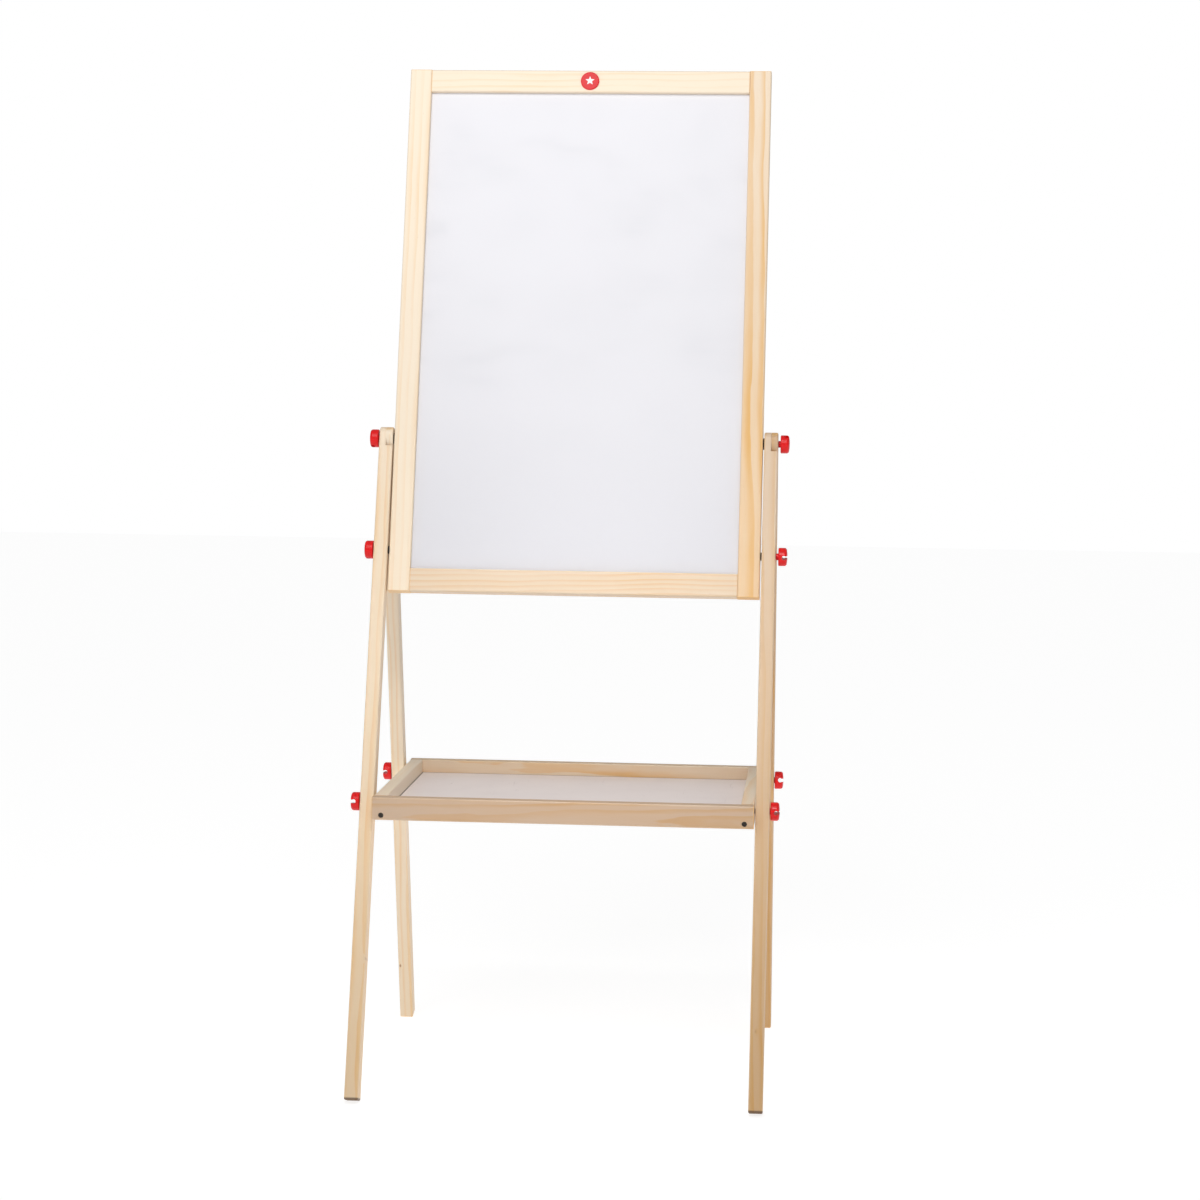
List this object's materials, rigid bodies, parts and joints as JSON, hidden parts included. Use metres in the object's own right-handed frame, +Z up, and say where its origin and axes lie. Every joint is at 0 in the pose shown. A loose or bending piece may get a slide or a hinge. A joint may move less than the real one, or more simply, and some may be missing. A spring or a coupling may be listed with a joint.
{
  "type": "kids easel",
  "caption": "Standing wooden children's easel: framed whiteboard and blackboard between A-shaped legs, with a drawing tray and red plastic knobs.",
  "frame": {"origin": "on the floor, under the middle of the easel's overall box", "axes": "+Z up; +Y away from the child at the whiteboard side; +X to that child's right"},
  "size_m": [0.4906, 0.4438, 1.169],
  "materials": {
    "pine": "clear-lacquered pine, fine grain",
    "white_lacquer": "semi-gloss white writing lacquer on hardboard",
    "blackboard_paint": "matt blackboard paint on hardboard",
    "tray_panel": "white-coated hardboard",
    "red_plastic": "satin moulded plastic",
    "white_plastic": "smooth moulded plastic",
    "zinc_steel": "bright zinc plate",
    "black_steel": "dark phosphated screw steel",
    "black_rubber": "matt black rubber"
  },
  "bodies": {
    "front_legs": {"front_leg_left": "pine", "front_leg_right": "pine", "leg_lock_inserts": "zinc_steel", "pivot_washers": "black_rubber"},
    "board": {"board_stile_left": "pine", "board_stile_right": "pine", "board_rail_top": "pine", "board_rail_bottom": "pine", "board_dowels": "pine", "whiteboard_sheet": "white_lacquer", "blackboard_sheet": "blackboard_paint", "badge": "red_plastic", "badge_star": "white_plastic", "board_inserts": "zinc_steel"},
    "rear_leg_left": {"rear_leg_left": "pine"},
    "rear_leg_right": {"rear_leg_right": "pine"},
    "tray": {"tray_rail_front": "pine", "tray_rail_rear": "pine", "tray_side_left": "pine", "tray_side_right": "pine", "tray_floor": "tray_panel", "tray_screws": "black_steel", "tray_inserts": "zinc_steel"},
    "knob_pivot_left": {"knob_pivot_left": "red_plastic", "stud_pivot_left": "zinc_steel"},
    "knob_pivot_right": {"knob_pivot_right": "red_plastic", "stud_pivot_right": "zinc_steel"},
    "knob_lock_left": {"knob_lock_left": "red_plastic", "stud_lock_left": "zinc_steel", "lock_pad_left": "black_rubber"},
    "knob_lock_right": {"knob_lock_right": "red_plastic", "stud_lock_right": "zinc_steel", "lock_pad_right": "black_rubber"},
    "knob_tray_front_left": {"knob_tray_front_left": "red_plastic", "stud_tray_front_left": "zinc_steel"},
    "knob_tray_front_right": {"knob_tray_front_right": "red_plastic", "stud_tray_front_right": "zinc_steel"},
    "knob_tray_rear_left": {"knob_tray_rear_left": "red_plastic", "stud_tray_rear_left": "zinc_steel"},
    "knob_tray_rear_right": {"knob_tray_rear_right": "red_plastic", "stud_tray_rear_right": "zinc_steel"}
  },
  "joints": [
    {"name": "board_tilt", "type": "hinge", "parent": "front_legs", "child": "board", "pos_m": [0, 0.01733, 0.732], "axis": [1, 0, 0], "range_deg": [-75, 105]},
    {"name": "rear_leg_left_swing", "type": "hinge", "parent": "front_legs", "child": "rear_leg_left", "pos_m": [0, 0.01733, 0.732], "axis": [1, 0, 0], "range_deg": [-4, 149]},
    {"name": "rear_leg_right_swing", "type": "hinge", "parent": "front_legs", "child": "rear_leg_right", "pos_m": [0, 0.01733, 0.732], "axis": [1, 0, 0], "range_deg": [-4, 149]},
    {"name": "tray_swing", "type": "hinge", "parent": "front_legs", "child": "tray", "pos_m": [0, -0.11163, 0.323], "axis": [1, 0, 0], "range_deg": [-105, 45]},
    {"name": "knob_pivot_left_turn", "type": "hinge", "parent": "front_legs", "child": "knob_pivot_left", "pos_m": [-0.2325, 0.01733, 0.732], "axis": [-1, 0, 0], "continuous": true},
    {"name": "knob_pivot_right_turn", "type": "hinge", "parent": "front_legs", "child": "knob_pivot_right", "pos_m": [0.2325, 0.01733, 0.732], "axis": [1, 0, 0], "continuous": true},
    {"name": "knob_lock_left_turn", "type": "hinge", "parent": "front_legs", "child": "knob_lock_left", "pos_m": [-0.2325, -0.02296, 0.6042], "axis": [-1, 0, 0], "continuous": true},
    {"name": "knob_lock_right_turn", "type": "hinge", "parent": "front_legs", "child": "knob_lock_right", "pos_m": [0.2325, -0.02296, 0.6042], "axis": [1, 0, 0], "continuous": true},
    {"name": "knob_tray_front_left_turn", "type": "hinge", "parent": "front_legs", "child": "knob_tray_front_left", "pos_m": [-0.2325, -0.11163, 0.323], "axis": [-1, 0, 0], "continuous": true},
    {"name": "knob_tray_front_right_turn", "type": "hinge", "parent": "front_legs", "child": "knob_tray_front_right", "pos_m": [0.2325, -0.11163, 0.323], "axis": [1, 0, 0], "continuous": true},
    {"name": "knob_tray_rear_left_turn", "type": "hinge", "parent": "rear_leg_left", "child": "knob_tray_rear_left", "pos_m": [-0.2325, 0.12692, 0.323], "axis": [-1, 0, 0], "continuous": true},
    {"name": "knob_tray_rear_right_turn", "type": "hinge", "parent": "rear_leg_right", "child": "knob_tray_rear_right", "pos_m": [0.2325, 0.12692, 0.323], "axis": [1, 0, 0], "continuous": true}
  ]
}
